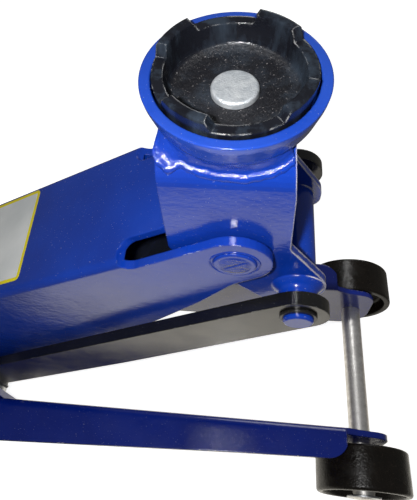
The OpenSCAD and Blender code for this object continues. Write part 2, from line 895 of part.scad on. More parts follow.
// Ribbed grip, closed at its end
module handle_grip() {
  grip_len = 105;
  ribs = 9;
  pitch = 9;
  color(rubber) handle_frame()
    rotate([0, 90, 0])
      rotate_extrude()
        polygon(rounded(concat(
          [[handle_r, handle_reach - grip_len, 0], [grip_r + 2, handle_reach - grip_len, 1.5],
            [grip_r + 2, handle_reach - grip_len + 5, 1.5]],
          [for (i = [0:ribs - 1]) each [
            [grip_r - 0.8, handle_reach - grip_len + 8 + i * pitch, 0.8],
            [grip_r - 0.8, handle_reach - grip_len + 11 + i * pitch, 0.8],
            [grip_r, handle_reach - grip_len + 12.5 + i * pitch, 0.8],
            [grip_r, handle_reach - grip_len + 15.5 + i * pitch, 0.8]]],
          [[grip_r, handle_reach, grip_round], [0, handle_reach, 0], [0, handle_reach - 3, 0],
            [handle_r, handle_reach - 3, 0]]
        )));
}

// ------------------------------------------------------------------ casters

race_z = 58.3;
fork_top = 58;
fork_t = 2.5;

module at_casters() {
  at_axle() both_sides() translate([-caster_back, caster_y, 0]) children();
}

module at_caster(side) {
  at_axle() on_side(side) translate([-caster_back, caster_y, 0]) children();
}

// Upper bearing races under the flanges
module caster_races() {
  color(zinc) at_casters() translate([0, 0, race_z])
    rotate_extrude()
      polygon(rounded([[5, 0, 0], [13, 0, 1.5], [16, 4, 2], [16, frame_top - web_t - race_z, 0],
        [5, frame_top - web_t - race_z, 0]]));
}

module king_bolts() {
  color(zinc) at_casters() {
    translate([0, 0, 52]) cylinder(r = 5, h = frame_top + 9 - 52);
    translate([0, 0, 51]) cylinder(r = 9, h = 4.2);
  }
}

module king_nuts() {
  color(zinc) at_casters() translate([0, 0, frame_top])
    difference() {
      union() {
        cylinder(r = 11, h = 1.5);
        translate([0, 0, 1.5]) cylinder(r = 9, h = 5.5, $fn = 6);
      }
      translate([0, 0, -1]) cylinder(r = 5, h = 20);
    }
}

// Bent plate fork, its legs drawn back to the wheel's axle
module caster_fork(side) {
  color(zinc) at_caster(side)
    difference() {
      intersection() {
        translate([0, 0, fork_top]) drawn(channel(fork_half, fork_t, 4.5, 60), -40, 40);
        plate(rounded([
          [16, fork_top + 5, 0], [15, 49, 8], [-caster_trail + 7.5, caster_r - 7.5, 7],
          [-caster_trail - 7.5, caster_r - 7.5, 7], [-17, 48, 10], [-16, fork_top + 5, 0]
        ]), -20, 20);
      }
      cylinder(r = 5 + fit, h = 90);
      translate([-caster_trail, 0, caster_r]) bar(3, -20, 20);
    }
}

module caster_wheel(side) {
  color(black) at_caster(side) translate([-caster_trail, 0, caster_r])
    turned([[3 + fit, -10, 0], [7, -10, 0.5], [7, -7, 1.5], [14, -7, 1.5], [15, -9, 0.8],
      [caster_r, -9, 3], [caster_r, 9, 3], [15, 9, 0.8], [14, 7, 1.5], [7, 7, 1.5], [7, 10, 0.5],
      [3 + fit, 10, 0]], 0);
}

module caster_axle(side) {
  color(zinc) at_caster(side) translate([-caster_trail, 0, caster_r]) {
    bar(3, -fork_half - 1, fork_half + 1);
    both_sides() turned([[0, 0, 0], [5, 0, 0], [4, 2, 1], [0, 2.2, 0]], fork_half);
  }
}

side_frame(1);  // side_frame_left
side_frame(-1);  // side_frame_right
pivot_cheek(1);  // pivot_cheek_left
pivot_cheek(-1);  // pivot_cheek_right
base_plate();
front_axle();
axle_washers();
front_wheel(1);  // front_wheel_left
front_wheel(-1);  // front_wheel_right
arm_shaft();
arm_shaft_rings();
lift_arm();
arm_pivot_tube();
saddle_pin();
crank_pin();
saddle_bracket();
saddle_dish();
link_pin();
saddle_rivet();
saddle_cup();
link_bar(1);  // link_left
link_bar(-1);  // link_right
link_studs();
link_rings();
base_block();
cylinder_tube();
reservoir_tube();
end_cap();
unit_bolts();
filler_plug();
pump_barrel();
pump_plunger();
release_valve();
ram_rod();
ram_yoke();
spring_posts();
return_spring(1);  // return_spring_left
return_spring(-1);  // return_spring_right
handle_socket();
socket_pin();
pump_roller();
roller_pin();
clamp_screw();
handle_lower();
handle_upper();
snap_button();
handle_grip();
caster_races();
king_bolts();
king_nuts();
caster_fork(1);  // caster_fork_left
caster_fork(-1);  // caster_fork_right
caster_wheel(1);  // caster_wheel_left
caster_wheel(-1);  // caster_wheel_right
caster_axle(1);  // caster_axle_left
caster_axle(-1);  // caster_axle_right
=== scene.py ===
import math

import bmesh
import bpy
from mathutils import Matrix, Vector, noise as field


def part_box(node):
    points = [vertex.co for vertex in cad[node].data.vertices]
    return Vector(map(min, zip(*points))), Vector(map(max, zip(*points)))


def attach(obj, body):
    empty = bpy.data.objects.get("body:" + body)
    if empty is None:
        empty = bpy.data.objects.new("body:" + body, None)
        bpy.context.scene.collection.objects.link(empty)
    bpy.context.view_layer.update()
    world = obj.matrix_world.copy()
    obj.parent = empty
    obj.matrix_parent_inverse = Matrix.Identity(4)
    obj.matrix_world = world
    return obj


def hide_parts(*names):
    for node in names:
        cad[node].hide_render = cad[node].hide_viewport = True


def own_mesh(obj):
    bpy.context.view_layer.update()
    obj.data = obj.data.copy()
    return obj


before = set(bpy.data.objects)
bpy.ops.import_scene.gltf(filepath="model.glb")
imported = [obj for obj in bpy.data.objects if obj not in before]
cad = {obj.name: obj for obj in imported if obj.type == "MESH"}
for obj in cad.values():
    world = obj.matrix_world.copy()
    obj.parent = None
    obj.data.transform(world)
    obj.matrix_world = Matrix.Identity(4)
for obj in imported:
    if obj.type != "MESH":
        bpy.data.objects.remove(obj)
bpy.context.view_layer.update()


# ---------------------------------------------------------------- blue cheeks, base, block and socket
# These are steel plates and castings, welded up and sprayed together with a thick blue enamel. The coat has
# a fine orange peel and dust under its gloss, with a painted glint on each dust speck, and is chipped to
# bare metal on the corners that get knocked.
def new_material(name):
    mat = bpy.data.materials.new(name)
    mat.use_nodes = True
    tree = mat.node_tree
    return mat, tree, tree.nodes["Principled BSDF"]


def add(tree, kind, inputs=None, **settings):
    """A new shader node; inputs maps a socket to a value or to another socket."""
    made = tree.nodes.new(kind)
    for key, value in settings.items():
        setattr(made, key, value)
    for key, value in (inputs or {}).items():
        if isinstance(value, bpy.types.NodeSocket):
            tree.links.new(value, made.inputs[key])
        else:
            made.inputs[key].default_value = value
    return made


def place(tree, stretch=(1, 1, 1), shift=(0, 0, 0)):
    """Object coordinates, moved and stretched."""
    coord = add(tree, "ShaderNodeTexCoord").outputs["Object"]
    made = add(tree, "ShaderNodeMapping", {"Vector": coord, "Location": shift, "Scale": stretch})
    return made.outputs["Vector"]


def along(tree, at, axis):
    """How far each point is along that axis."""
    return add(tree, "ShaderNodeSeparateXYZ", {0: at}).outputs[axis]


def noise(tree, at, scale, detail=3.0, rough=0.55):
    """Grey noise of that many features a metre."""
    made = add(
        tree, "ShaderNodeTexNoise", {"Vector": at, "Scale": scale, "Detail": detail, "Roughness": rough},
    )
    return made.outputs["Fac"]


def ramp(tree, value, low, high, to_low=0.0, to_high=1.0):
    """value taken from low..high to to_low..to_high, held at both ends."""
    made = add(
        tree, "ShaderNodeMapRange",
        {"Value": value, "From Min": low, "From Max": high, "To Min": to_low, "To Max": to_high},
    )
    return made.outputs["Result"]


def calc(tree, operation, a, b):
    return add(tree, "ShaderNodeMath", {0: a, 1: b}, operation=operation).outputs[0]


def times(tree, a, b):
    return calc(tree, "MULTIPLY", a, b)


def plus(tree, a, b):
    return calc(tree, "ADD", a, b)


def dot(tree, a, b):
    return add(tree, "ShaderNodeVectorMath", {0: a, 1: b}, operation="DOT_PRODUCT").outputs["Value"]


def blend(tree, factor, a, b):
    """Colour a turning to colour b."""
    made = add(tree, "ShaderNodeMix", data_type="RGBA")
    for key, value in (("Factor_Float", factor), ("A_Color", a), ("B_Color", b)):
        socket = next(s for s in made.inputs if s.identifier == key)
        if isinstance(value, bpy.types.NodeSocket):
            tree.links.new(value, socket)
        else:
            socket.default_value = value
    return next(s for s in made.outputs if s.identifier == "Result_Color")


def edges(tree, radius):
    """Normal that rounds edges to that radius, and how close to an edge each point is."""
    rounded = add(tree, "ShaderNodeBevel", {"Radius": radius}, samples=6).outputs[0]
    flat = add(tree, "ShaderNodeNewGeometry").outputs["Normal"]
    return rounded, calc(tree, "SUBTRACT", 1.0, dot(tree, rounded, flat))


def bump(tree, height, distance, strength, normal=None):
    made = add(tree, "ShaderNodeBump", {"Height": height, "Distance": distance, "Strength": strength})
    if normal is not None:
        tree.links.new(normal, made.inputs["Normal"])
    return made.outputs["Normal"]


BLUE = (0.0045, 0.046, 0.40, 1)
DEEP_BLUE = (0.0040, 0.036, 0.33, 1)
DUST_FILM = (0.20, 0.23, 0.42, 1)
DUST_SPECK_AND_GLINT = (0.30, 0.34, 0.52, 1)
BARE_METAL = (0.82, 0.78, 0.74, 1)
PAINT_IOR = 1.55
PEEL = 0.00013           # height of the orange peel, m
SPECK_HEIGHT = 0.00010
COAT_THICKNESS = 0.0002


def enamel(name, base=BLUE, deep=DEEP_BLUE, chips=0.5, peel=PEEL, round_to=0.0008, grit=None, bared=None):
    """Blue enamel, from base to deep in soft clouds. chips is how worn its edges are, round_to their radius,
    peel the height of its orange peel, and grit the scale and height of the dirt under it. bared(tree, at,
    normal) gives where else it is off."""
    mat, tree, bsdf = new_material(name)
    at = place(tree)
    normal, edge = edges(tree, round_to)
    colour = blend(tree, ramp(tree, noise(tree, at, 26, 4), 0.36, 0.66), base, deep)
    # a paler film of dust and polish, in broad soft patches
    film = ramp(tree, noise(tree, place(tree, (0.6, 1, 1)), 14, 5, 0.6), 0.5, 0.78, 0, 0.08)
    colour = blend(tree, film, colour, DUST_FILM)
    # dust specks and pinholes in the coat; their pale colour is a painted glint of light off them
    speck = ramp(tree, noise(tree, at, 1500, 1), 0.725, 0.78, 0, 0.6)
    colour = blend(tree, speck, colour, DUST_SPECK_AND_GLINT)
    # chips, near an edge and where a coarse and a fine noise agree
    patch = times(tree, noise(tree, at, 75, 2), noise(tree, at, 520, 4, 0.7))
    chip = times(tree, ramp(tree, edge, 0.10, 0.16), ramp(tree, patch, 0.325, 0.345, 0, chips))
    if bared:
        chip = calc(tree, "MAXIMUM", chip, bared(tree, at, normal))
    colour = blend(tree, chip, colour, BARE_METAL)
    tree.links.new(colour, bsdf.inputs["Base Color"])
    # the gloss is smeared by hands and dust, and the bare metal is dull
    smear = ramp(tree, noise(tree, at, 55, 4), 0.3, 0.75, 0.10, 0.20)
    rough = add(tree, "ShaderNodeMix", {"Factor": chip, "A": smear, "B": 0.5}).outputs["Result"]
    tree.links.new(rough, bsdf.inputs["Roughness"])
    bsdf.inputs["IOR"].default_value = PAINT_IOR
    waves = plus(tree, noise(tree, at, 520, 2), times(tree, noise(tree, at, 150, 2), 1.6))
    surface = bump(tree, waves, peel, 0.55, normal)
    surface = bump(tree, speck, SPECK_HEIGHT, 0.6, surface)
    if grit:
        surface = bump(tree, noise(tree, at, grit[0], 3, 0.65), grit[1], 0.7, surface)
    surface = bump(tree, times(tree, chip, -1.0), COAT_THICKNESS, 0.8, surface)
    tree.links.new(surface, bsdf.inputs["Normal"])
    return mat


def paint(mat, *names):
    """Gives the CAD nodes of those names that material."""
    for name in names:
        cad[name].data.materials.clear()
        cad[name].data.materials.append(mat)


paint(
    enamel("blue_enamel"),
    "pivot_cheek_left", "pivot_cheek_right", "base_plate", "base_block", "reservoir_tube", "end_cap",
    "handle_socket",
)


# ---------------------------------------------------------------- saddle dish
# The dish is a turned steel ring with a flared rim, on top of the bracket. It is in the same enamel, which
# went on over grit, and its colour is a little paler here as a painted sheen.
DISH_SHEEN_BLUE = (0.015, 0.066, 0.42, 1)
DISH_SHEEN_DEEP_BLUE = (0.010, 0.050, 0.36, 1)
paint(enamel("dish_enamel", DISH_SHEEN_BLUE, DISH_SHEEN_DEEP_BLUE, chips=0.9, grit=(900, 0.00014)), "saddle_dish")


# ---------------------------------------------------------------- side frames
# The two side frames are folded from plate, with broad flanges. Their enamel is a darker copy of the blue on
# the parts above them, as painted shade, and it has run round over their edges.
FRAME_SHADED_BLUE = (0.0020, 0.018, 0.25, 1)
FRAME_SHADED_DEEP_BLUE = (0.0018, 0.014, 0.20, 1)
paint(
    enamel("flange_enamel", FRAME_SHADED_BLUE, FRAME_SHADED_DEEP_BLUE, chips=0.9, round_to=0.0012),
    "side_frame_left", "side_frame_right",
)


# ---------------------------------------------------------------- saddle pin and link pin
# Both pins are turned steel, painted in place with the rest. The saddle pin's ends were pressed over, which
# left a rough mark in the middle of each.
MARK_IN = 0.0042         # the mark is deepest inside this radius, m
MARK_OUT = 0.0062        # and gone outside this one
MARK_DEPTH = 0.0009


def middle_of(node):
    """The middle of a CAD node's box, which is on the axis of a round one."""
    low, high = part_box(node)
    return (Vector(low) + Vector(high)) / 2


def press_into(mat, height, distance, strength):
    """Adds a bump to a material, on top of its own."""
    tree = mat.node_tree
    socket = tree.nodes["Principled BSDF"].inputs["Normal"]
    tree.links.new(bump(tree, height, distance, strength, socket.links[0].from_socket), socket)


SADDLE_PIN = middle_of("saddle_pin")
pin_enamel = enamel("pin_enamel", chips=0.9)
tree = pin_enamel.node_tree
from_axis = add(
    tree, "ShaderNodeVectorMath",
    {0: place(tree, shift=(-SADDLE_PIN.x, 0, -SADDLE_PIN.z)), 1: (1, 0, 1)}, operation="MULTIPLY",
).outputs[0]
away = add(tree, "ShaderNodeVectorMath", {0: from_axis}, operation="LENGTH").outputs["Value"]
dents = noise(tree, place(tree, (0.5, 1, 1.6)), 420, 3, 0.6)
mark = times(tree, dents, ramp(tree, away, MARK_IN, MARK_OUT, 1, 0))
press_into(pin_enamel, mark, MARK_DEPTH, 0.9)
paint(pin_enamel, "saddle_pin", "link_pin")


# ---------------------------------------------------------------- lift arm
# The arm is a pressed channel of the same plate, sprayed from outside. The underside of its top and what
# lies between its walls are coloured near-black, as painted shade inside the channel.
MM = 0.001
ARM_PIVOT = middle_of("arm_shaft")
LIFT = math.atan2(SADDLE_PIN.z - ARM_PIVOT.z, SADDLE_PIN.x - ARM_PIVOT.x)   # the arm's angle above level
ARM_TOP = 40.0                       # from the arm's centre line to its top, over the pivot, mm
ARM_FALL = math.radians(5)           # the top falls towards the saddle by this angle
SHADED_UNDER = 3.4                   # the painted shade starts this far under the arm's top, mm
SHADED_HALF = 25.6                   # and reaches this far to each side of the middle, mm
CHANNEL_SHADE = (0.010, 0.012, 0.018, 1)
CHANNEL_SHADE_PALE = (0.018, 0.022, 0.045, 1)


def lay_over(mat, mask, colour):
    """Puts a colour over a material's own where the mask is 1."""
    tree = mat.node_tree
    socket = tree.nodes["Principled BSDF"].inputs["Base Color"]
    tree.links.new(blend(tree, mask, socket.links[0].from_socket, colour), socket)


top_way = Vector((-math.sin(LIFT - ARM_FALL), 0, math.cos(LIFT - ARM_FALL)))    # square to the arm's top
over_pivot = ARM_PIVOT + ARM_TOP * MM * Vector((-math.sin(LIFT), 0, math.cos(LIFT)))
shade_top = top_way.dot(over_pivot) - SHADED_UNDER * MM
arm_enamel = enamel("arm_enamel", grit=(1300, 0.00005))
tree = arm_enamel.node_tree
at = place(tree)
# painted shade: near-black inside the channel, below its top and between its walls
from_middle = calc(tree, "ABSOLUTE", along(tree, at, "Y"), 0.0)
between = ramp(tree, from_middle, SHADED_HALF * MM, (SHADED_HALF + 0.2) * MM, 1, 0)
under = ramp(tree, dot(tree, at, top_way), shade_top - 0.3 * MM, shade_top, 1, 0)
shade_colour = blend(tree, ramp(tree, noise(tree, at, 90, 4), 0.4, 0.75), CHANNEL_SHADE, CHANNEL_SHADE_PALE)
lay_over(arm_enamel, times(tree, between, under), shade_colour)
paint(arm_enamel, "lift_arm")


# ---------------------------------------------------------------- saddle bracket
# The bracket is one strip of plate, sheared and folded down at both sides. Its sheared front edge is
# ragged, so the enamel has pulled back from it and the bare steel shows as a pale broken line.
TORN_WIDTH = 0.0021      # how far the enamel has pulled back from the edge, m


def torn_front(tree, at, normal):
    """Where an edge that faces forward has lost its enamel, in bites and longer flakes."""
    own = add(
        tree, "ShaderNodeVectorTransform", {"Vector": normal},
        vector_type="NORMAL", convert_from="WORLD", convert_to="OBJECT",
    ).outputs[0]
    ahead = ramp(tree, along(tree, own, "X"), 0.15, 0.3, 0, 0.9)
    reach = edges(tree, TORN_WIDTH)[1]
    bites = times(tree, noise(tree, at, 420, 4, 0.7), 0.34)
    flakes = times(tree, ramp(tree, noise(tree, at, 120, 3), 0.50, 0.60), 0.14)
    ragged = plus(tree, reach, plus(tree, bites, flakes))
    torn = times(tree, ramp(tree, reach, 0.02, 0.05), ramp(tree, ragged, 0.28, 0.32))
    return times(tree, torn, ahead)


paint(enamel("bracket_enamel", chips=0.8, grit=(1300, 0.00004), bared=torn_front), "saddle_bracket")


# ---------------------------------------------------------------- weld round the dish
# The dish is welded to the bracket with one heavy fillet weld on each side. The weld wanders along the
# bracket's bend, with ripples across it and a lump where it was started, and is painted over.
BRACKET_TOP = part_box("saddle_bracket")[1][2]
DISH_X = (middle_of("saddle_dish").x - SADDLE_PIN.x) / MM    # the dish's axis from the saddle pin's, mm
BEND_START = 12.2        # from the middle to where the bracket's bend starts, mm
BEND_R = 12.0
DISH_FOOT_R = 25.3       # the weld ends against the dish's foot, this far from its axis
WELD_R = 27.2            # the weld's middle line, from the same axis
WELD_TOP = 2.8           # the weld's top edge, over the bracket's top
LIP_R = 1.75             # of the rounded lip along the weld's toe
LIP_UNEVEN = 0.35
LIP_IN = 0.42            # the lip's middle, inside the toe
LIP_UNDER = 0.60         # and under the bracket's surface
LIP_TURNS = (150, 125, 100, 80, 62, 48, 35, 22, 8)    # where the lip's points are, in degrees from upright
LUMPS = ((0.12, 0.06, 1.0), (0.90, 0.05, 0.5))        # where each lump is, its length and its height
LUMP_OUT = 0.35          # how much a lump swells the lip
LUMP_UP = 1.4            # and how much it lifts the fillet
CORNER_IN = 0.5          # the corner that the fillet's curve is drawn towards is this far inside the toe,
CORNER_UP = 0.8          # and this far over the bracket,
CORNER_LOWEST = -3.4     # whose bend is followed no lower than this
FILLET_STEPS = 10
RIPPLES = 34
RIPPLE_HEIGHT = 0.025
STREAK_HEIGHT = 0.42
RISE = Vector((0, 0.75, 0.65))       # the way that ripples and streaks stand out of the weld
BURIED_WALL = (1.4, 1.3)             # the weld's hidden edge in the dish's wall: how deep, and how far down
BURIED_TOE = (2.6, 1.5)              # and in the bracket's plate: how far in from the toe, and how deep
WELD_STEPS = 84
TOE = (                  # x and |y| of the weld's toe from the saddle pin, from the back to the front, mm
    (-25.0, 18.6), (-23.6, 20.6), (-20.3, 22.0), (-16.6, 21.0), (-13.9, 21.9), (-10.5, 22.5), (-5.6, 22.9),
    (-2.6, 23.0), (2.7, 23.1), (5.9, 22.7), (9.8, 22.2), (13.9, 21.1), (17.0, 19.4),
)


def finished(name, shape, smooth=True):
    """The bmesh as an object of the scene."""
    mesh = bpy.data.meshes.new(name)
    for face in shape.faces:
        face.smooth = smooth
    shape.to_mesh(mesh)
    shape.free()
    made = bpy.data.objects.new(name, mesh)
    bpy.context.scene.collection.objects.link(made)
    return made


def skin(name, rings, closed_ends=True, smooth=True):
    """A closed skin over rings of points, which all have the same number of points."""
    shape = bmesh.new()
    across = len(rings[0])
    bmesh.ops.create_grid(shape, x_segments=across, y_segments=len(rings) - 1, size=1)
    for vert, spot in zip(shape.verts[:], (ring[i % across] for ring in rings for i in range(across + 1))):
        vert.co = spot
    bmesh.ops.remove_doubles(shape, verts=shape.verts, dist=1e-7)
    if closed_ends:
        bmesh.ops.holes_fill(shape, edges=[e for e in shape.edges if e.is_boundary], sides=0)
    bmesh.ops.recalc_face_normals(shape, faces=shape.faces)
    return finished(name, shape, smooth)


def bend_height(y):
    """Height of the bracket's surface above its top face at that distance from the middle, mm."""
    over = min(max(y - BEND_START, 0), BEND_R * 0.98)
    return math.sqrt(BEND_R * BEND_R - over * over) - BEND_R


def toe_at(share):
    """x and |y| of the weld's toe, share 0 to 1 from the back to the front."""
    spot = share * (len(TOE) - 1)
    i = min(int(spot), len(TOE) - 2)
    step = spot - i
    (x0, y0), (x1, y1) = TOE[i], TOE[i + 1]
    return x0 + (x1 - x0) * step, y0 + (y1 - y0) * step * step * (3 - 2 * step)


def weld_ring(share, side):
    """Points round the weld's section: the lip at its toe, the fillet up to the dish, then back inside."""
    x, y = toe_at(share)
    lump = sum(high * math.exp(-(((share - spot) / long) ** 2)) for spot, long, high in LUMPS)
    lip = LIP_R + LIP_UNEVEN * field.noise(Vector((share * 15, side * 3, 1.7))) + LUMP_OUT * lump
    lip_middle = Vector((x, y - LIP_IN, bend_height(y) - LIP_UNDER))
    points = []
    for turn in LIP_TURNS:
        way = math.radians(turn)
        points.append(lip_middle + lip * Vector((0, math.sin(way), math.cos(way))))
    # the fillet curves up from the lip to the dish's wall
    theta = math.asin(max(min((x - DISH_X) / WELD_R, 0.95), -0.95))
    wall = Vector((DISH_X + DISH_FOOT_R * math.sin(theta), DISH_FOOT_R * math.cos(theta), WELD_TOP))
    corner_y = min(wall.y, y) - CORNER_IN
    corner_z = max(bend_height(corner_y), CORNER_LOWEST) + CORNER_UP + LUMP_UP * lump
    corner = Vector(((x + wall.x) / 2, corner_y, corner_z))
    start = points[-1].copy()
    for k in range(1, FILLET_STEPS + 1):
        s = k / FILLET_STEPS
        points.append(start * (1 - s) ** 2 + corner * 2 * s * (1 - s) + wall * s * s)
    # ripples across the weld, and streaks along it, on all but the outermost part of the lip
    for k, point in enumerate(points[3:], 3):
        wander = 2.5 * field.noise(Vector((share * 9, 4, side)))
        ripple = RIPPLE_HEIGHT * math.sin(share * 2 * math.pi * RIPPLES + k * 0.6 + wander)
        streak = STREAK_HEIGHT * field.noise(Vector((share * 7, k * 0.62, 7 + side)))
        point += RISE * (ripple + streak)
    # back inside the dish's wall and the bracket's plate, out of sight
    points.append(wall - Vector((0, *BURIED_WALL)))
    points.append(Vector((x, y - BURIED_TOE[0], bend_height(y - BURIED_TOE[0]) - BURIED_TOE[1])))
    return [Vector((SADDLE_PIN.x + p.x * MM, side * p.y * MM, BRACKET_TOP + p.z * MM)) for p in points]


weld_enamel = enamel("weld_enamel", chips=0.0, peel=0.00018, grit=(620, 0.00045))
for side, name in ((-1, "dish_weld_right"), (1, "dish_weld_left")):
    weld = skin(name, [weld_ring(i / WELD_STEPS, side) for i in range(WELD_STEPS + 1)])
    weld.data.materials.append(weld_enamel)
    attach(weld, "bracket")


# ---------------------------------------------------------------- paint collars round the saddle pin
# Where the saddle pin's end comes through the arm's ears, the enamel has run into the gap and dried as a
# thin raised ring.
EAR_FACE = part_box("lift_arm")[1][1]      # the ears' outer faces, from the middle, m
COLLAR_R = 0.00905
COLLAR_UNEVEN = 0.00018
BEAD_R = 0.00042
BEAD_UNEVEN = 0.00020
BEAD_FLAT = 0.8          # the bead's height as a share of its width
COLLAR_STEPS = 72
BEAD_STEPS = 10


def collar_ring(i, side):
    """Points round the bead of paint, at step i of the way round the pin."""
    turn = 2 * math.pi * i / COLLAR_STEPS
    way_out = Vector((math.cos(turn), math.sin(turn)))
    radius = COLLAR_R + COLLAR_UNEVEN * field.noise(Vector((way_out.x * 2, way_out.y * 2, 5 + side)))
    bead = BEAD_R + BEAD_UNEVEN * field.noise(Vector((way_out.x * 3, way_out.y * 3, 9 - side)))
    ring = []
    for k in range(BEAD_STEPS):
        way = 2 * math.pi * k / BEAD_STEPS
        out = way_out * (radius + bead * math.cos(way))
        face = side * (EAR_FACE + bead * BEAD_FLAT * math.sin(way))
        ring.append(Vector((SADDLE_PIN.x + out.x, face, SADDLE_PIN.z + out.y)))
    return ring


for side, name in ((-1, "pin_collar_right"), (1, "pin_collar_left")):
    rings = [collar_ring(i % COLLAR_STEPS, side) for i in range(COLLAR_STEPS + 1)]
    collar = skin(name, rings, closed_ends=False)
    collar.data.materials.append(weld_enamel)
    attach(collar, "arm")


# ---------------------------------------------------------------- panel on the arm
# A thin blank aluminium foil panel with a printed yellow border is stuck on the arm's top. It carries no
# lettering.
PANEL_CORNERS = (        # how far ahead of the arm's pivot and how far left each is, mm
    (134.0, 26.2), (138.4, -24.0), (62.0, -24.0), (62.0, 26.2),
)
PANEL_UP = 0.12          # the foil's face above the arm's top
PANEL_EDGE = 0.22        # the height of its edge, whose foot is sunk in the arm's paint
CORNER_ROUND = 2.6
BORDER_WIDTH = 1.7
BORDER = 1               # slot of the border's material
FOIL = (0.90, 0.92, 0.91, 1)
FOIL_DARK = (0.74, 0.77, 0.77, 1)
YELLOW = (0.92, 0.80, 0.010, 1)
YELLOW_DARK = (0.86, 0.72, 0.008, 1)


def on_arm_top(u, y):
    """A point just over the arm's top, u mm ahead of its pivot and y mm to the left."""
    v = ARM_TOP - u * math.tan(ARM_FALL)
    flat = Vector((
        ARM_PIVOT.x + (u * math.cos(LIFT) - v * math.sin(LIFT)) * MM, y * MM,
        ARM_PIVOT.z + (u * math.sin(LIFT) + v * math.cos(LIFT)) * MM,
    ))
    return flat + top_way * PANEL_UP * MM


def printed_foil(name, base, dark, metallic):
    """Printed or bare foil with fine rolling marks across it."""
    mat, tree, bsdf = new_material(name)
    marks = noise(tree, place(tree, (1, 0.08, 1)), 900, 3, 0.6)
    cloud = noise(tree, place(tree), 35, 3)
    tree.links.new(blend(tree, ramp(tree, cloud, 0.35, 0.7), base, dark), bsdf.inputs["Base Color"])
    bsdf.inputs["Metallic"].default_value = metallic
    tree.links.new(ramp(tree, marks, 0.3, 0.7, 0.30, 0.42), bsdf.inputs["Roughness"])
    tree.links.new(bump(tree, marks, 0.00002, 0.4), bsdf.inputs["Normal"])
    return mat


shape = bmesh.new()
bmesh.ops.contextual_create(shape, geom=[shape.verts.new(on_arm_top(u, y)) for u, y in PANEL_CORNERS])
bmesh.ops.bevel(
    shape, geom=shape.verts[:], affect="VERTICES", offset=CORNER_ROUND * MM, segments=6, profile=0.5,
    material=-1,
)
border = bmesh.ops.inset_region(
    shape, faces=shape.faces[:], use_boundary=True, thickness=BORDER_WIDTH * MM, depth=0,
)
for face in border["faces"]:
    face.material_index = BORDER
rim = bmesh.ops.extrude_edge_only(shape, edges=[e for e in shape.edges if e.is_boundary])["geom"]
rim_verts = [v for v in rim if isinstance(v, bmesh.types.BMVert)]
bmesh.ops.translate(shape, verts=rim_verts, vec=-top_way * PANEL_EDGE * MM)
panel = finished("arm_panel", shape, smooth=False)
panel.data.materials.append(printed_foil("panel_foil", FOIL, FOIL_DARK, metallic=0.10))
panel.data.materials.append(printed_foil("panel_border", YELLOW, YELLOW_DARK, metallic=0.0))
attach(panel, "arm")


# ---------------------------------------------------------------- link bars and handle
# The two link bars are plain flat bar, and the handle is thin tube. Both are sprayed with a thin black
# paint that has a semi-gloss skin and a fine grain, and is rubbed grey along the edges.
LINK_BLACK = (0.006, 0.006, 0.006, 1)
HANDLE_BLACK = (0.010, 0.010, 0.011, 1)
RUBBED_AND_GLINT_GREY = (0.32, 0.32, 0.32, 1)
PAINTED_GRAIN_GLINT = (0.30, 0.30, 0.32, 1)
PAINT_GRAIN = 0.00006    # height of the paint's grain, m


def rubbed_black(tree, at, base, round_to=0.0006, kept=0.55):
    """Colour and normal of black paint that is rubbed along its edges; kept is how much of them keeps it."""
    normal, edge = edges(tree, round_to)
    rub = ramp(tree, noise(tree, at, 260, 4, 0.7), kept, kept + 0.07)
    paler = [c * 1.8 for c in base[:3]] + [1]
    colour = blend(tree, ramp(tree, noise(tree, at, 40), 0.35, 0.7), base, paler)
    rubbed = times(tree, ramp(tree, edge, 0.12, 0.2), rub)
    return blend(tree, rubbed, colour, RUBBED_AND_GLINT_GREY), normal


def black_coat(name, base, rough, grain, sparkle=0.0, metallic=0.0):
    """Black paint. grain is the scale of its texture, and sparkle how strong the painted glint on some of
    its grains is.
    """
    mat, tree, bsdf = new_material(name)
    at = place(tree)
    colour, normal = rubbed_black(tree, at, base)
    if sparkle:
        # painted glints on some of the paint's grains
        painted_glint = ramp(tree, noise(tree, at, 1600, 1), 0.73, 0.78, 0, sparkle)
        colour = blend(tree, painted_glint, colour, PAINTED_GRAIN_GLINT)
    tree.links.new(colour, bsdf.inputs["Base Color"])
    smear = ramp(tree, noise(tree, at, 90, 4), 0.3, 0.7, rough, rough + 0.10)
    tree.links.new(smear, bsdf.inputs["Roughness"])
    bsdf.inputs["Metallic"].default_value = metallic
    bsdf.inputs["IOR"].default_value = PAINT_IOR
    surface = bump(tree, noise(tree, at, grain, 3, 0.6), PAINT_GRAIN, 0.6, normal)
    tree.links.new(surface, bsdf.inputs["Normal"])
    return mat


link_paint = black_coat("link_paint", LINK_BLACK, rough=0.17, grain=700, sparkle=0.35)
paint(link_paint, "link_left", "link_right")
handle_paint = black_coat("handle_paint", HANDLE_BLACK, rough=0.24, grain=900)
paint(handle_paint, "handle_lower", "handle_upper")


# ---------------------------------------------------------------- saddle cup
# The cup is pressed steel in thick black enamel. Its floor is left grainy by dust under the paint, while
# the wall and the tabs are smooth and glossy.
CUP_BLACK = (0.0045, 0.0050, 0.0075, 1)
CUP_SHEEN = (0.034, 0.047, 0.066, 1)
CUP_DUST = (0.009, 0.0085, 0.010, 1)
CUP_PAINTED_GLINT = (0.34, 0.32, 0.32, 1)
DUST_TOP = BRACKET_TOP + 6.2 * MM        # the dust lies under this height
DUST_FADE = 1.2 * MM                     # and thins out over this much above it
CUP_GRAIN = 0.00040                      # height of the paint's texture, m
DUST_SHARE = 2.5                         # how much more the dust stands up than the paint's own texture


